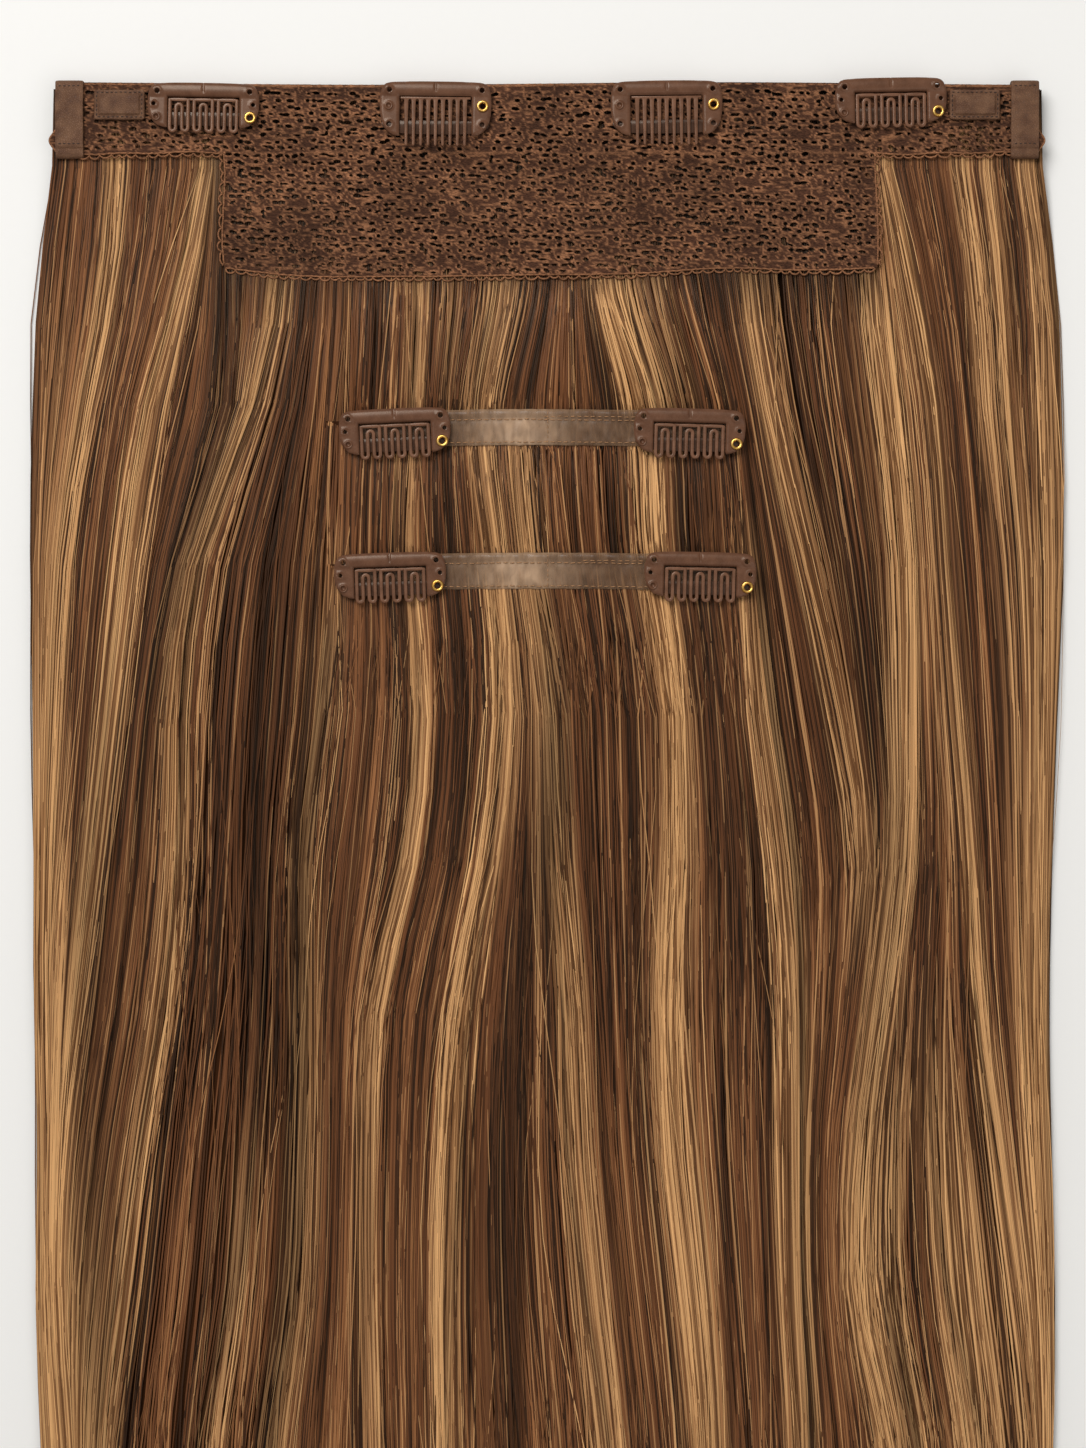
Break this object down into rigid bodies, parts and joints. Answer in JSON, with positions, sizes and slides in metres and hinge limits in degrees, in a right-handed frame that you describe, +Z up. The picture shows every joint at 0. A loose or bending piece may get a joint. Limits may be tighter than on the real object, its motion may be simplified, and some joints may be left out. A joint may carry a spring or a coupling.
{
  "type": "halo hair extension",
  "caption": "Long straight streaked hair on a lace base with snap clips, with two short clip rows on clear strips, lying flat.",
  "frame": {"origin": "on the resting surface, under the middle of the whole part", "axes": "+Y along the hair towards the lace base, +X to the right seen from above, +Z up from the surface"},
  "size_m": [0.2964, 0.5092, 0.0127],
  "materials": {
    "hair": "satin",
    "lace": "matte",
    "leather": "satin",
    "clear_strip": "satin",
    "clip_metal": "gloss",
    "brass": "polished"
  },
  "bodies": {
    "extension": {"hair_under": "hair", "hair_centre": "hair", "hair_upper_row": "hair", "hair_lower_row": "hair", "lace_band": "lace", "lace_panel": "lace", "left_end_tab": "leather", "right_end_tab": "leather", "left_patch": "leather", "right_patch": "leather", "upper_strip": "clear_strip", "lower_strip": "clear_strip", "base_clip_1_plate": "clip_metal", "base_clip_1_bar": "clip_metal", "base_clip_1_eyelet": "brass", "base_clip_1_rivet": "clip_metal", "base_clip_2_plate": "clip_metal", "base_clip_2_bar": "clip_metal", "base_clip_2_eyelet": "brass", "base_clip_2_rivet": "clip_metal", "base_clip_3_plate": "clip_metal", "base_clip_3_bar": "clip_metal", "base_clip_3_eyelet": "brass", "base_clip_3_rivet": "clip_metal", "base_clip_4_plate": "clip_metal", "base_clip_4_bar": "clip_metal", "base_clip_4_eyelet": "brass", "base_clip_4_rivet": "clip_metal", "upper_left_clip_plate": "clip_metal", "upper_left_clip_bar": "clip_metal", "upper_left_clip_eyelet": "brass", "upper_left_clip_rivet": "clip_metal", "upper_right_clip_plate": "clip_metal", "upper_right_clip_bar": "clip_metal", "upper_right_clip_eyelet": "brass", "upper_right_clip_rivet": "clip_metal", "lower_left_clip_plate": "clip_metal", "lower_left_clip_bar": "clip_metal", "lower_left_clip_eyelet": "brass", "lower_left_clip_rivet": "clip_metal", "lower_right_clip_plate": "clip_metal", "lower_right_clip_bar": "clip_metal", "lower_right_clip_eyelet": "brass", "lower_right_clip_rivet": "clip_metal"},
    "base_clip_1_tongue": {"base_clip_1_comb": "clip_metal"},
    "base_clip_2_tongue": {"base_clip_2_comb": "clip_metal"},
    "base_clip_3_tongue": {"base_clip_3_comb": "clip_metal"},
    "base_clip_4_tongue": {"base_clip_4_comb": "clip_metal"},
    "upper_left_clip_tongue": {"upper_left_clip_comb": "clip_metal"},
    "upper_right_clip_tongue": {"upper_right_clip_comb": "clip_metal"},
    "lower_left_clip_tongue": {"lower_left_clip_comb": "clip_metal"},
    "lower_right_clip_tongue": {"lower_right_clip_comb": "clip_metal"}
  },
  "joints": [
    {"name": "base_clip_1_opening", "type": "hinge", "parent": "extension", "child": "base_clip_1_tongue", "pos_m": [-0.09804, 0.24815, 0.00825], "axis": [-0.9998, 0.0174, 0], "range_deg": [0, 35]},
    {"name": "base_clip_2_opening", "type": "hinge", "parent": "extension", "child": "base_clip_2_tongue", "pos_m": [-0.03176, 0.24855, 0.00825], "axis": [-0.9999, 0.0105, 0], "range_deg": [0, 35]},
    {"name": "base_clip_3_opening", "type": "hinge", "parent": "extension", "child": "base_clip_3_tongue", "pos_m": [0.03409, 0.24885, 0.00825], "axis": [-0.9999, -0.0105, 0], "range_deg": [0, 35]},
    {"name": "base_clip_4_opening", "type": "hinge", "parent": "extension", "child": "base_clip_4_tongue", "pos_m": [0.09811, 0.24965, 0.00825], "axis": [-0.9998, -0.0174, 0], "range_deg": [0, 35]},
    {"name": "upper_left_clip_opening", "type": "hinge", "parent": "extension", "child": "upper_left_clip_tongue", "pos_m": [-0.04346, 0.15515, 0.00945], "axis": [-0.999, -0.0436, 0], "range_deg": [0, 35]},
    {"name": "upper_right_clip_opening", "type": "hinge", "parent": "extension", "child": "upper_right_clip_tongue", "pos_m": [0.0407, 0.15515, 0.00945], "axis": [-0.9997, 0.0262, 0], "range_deg": [0, 35]},
    {"name": "lower_left_clip_opening", "type": "hinge", "parent": "extension", "child": "lower_left_clip_tongue", "pos_m": [-0.04468, 0.11395, 0.01155], "axis": [-0.9995, -0.0314, 0], "range_deg": [0, 35]},
    {"name": "lower_right_clip_opening", "type": "hinge", "parent": "extension", "child": "lower_right_clip_tongue", "pos_m": [0.04363, 0.11415, 0.01155], "axis": [-0.9998, 0.0209, 0], "range_deg": [0, 35]}
  ]
}
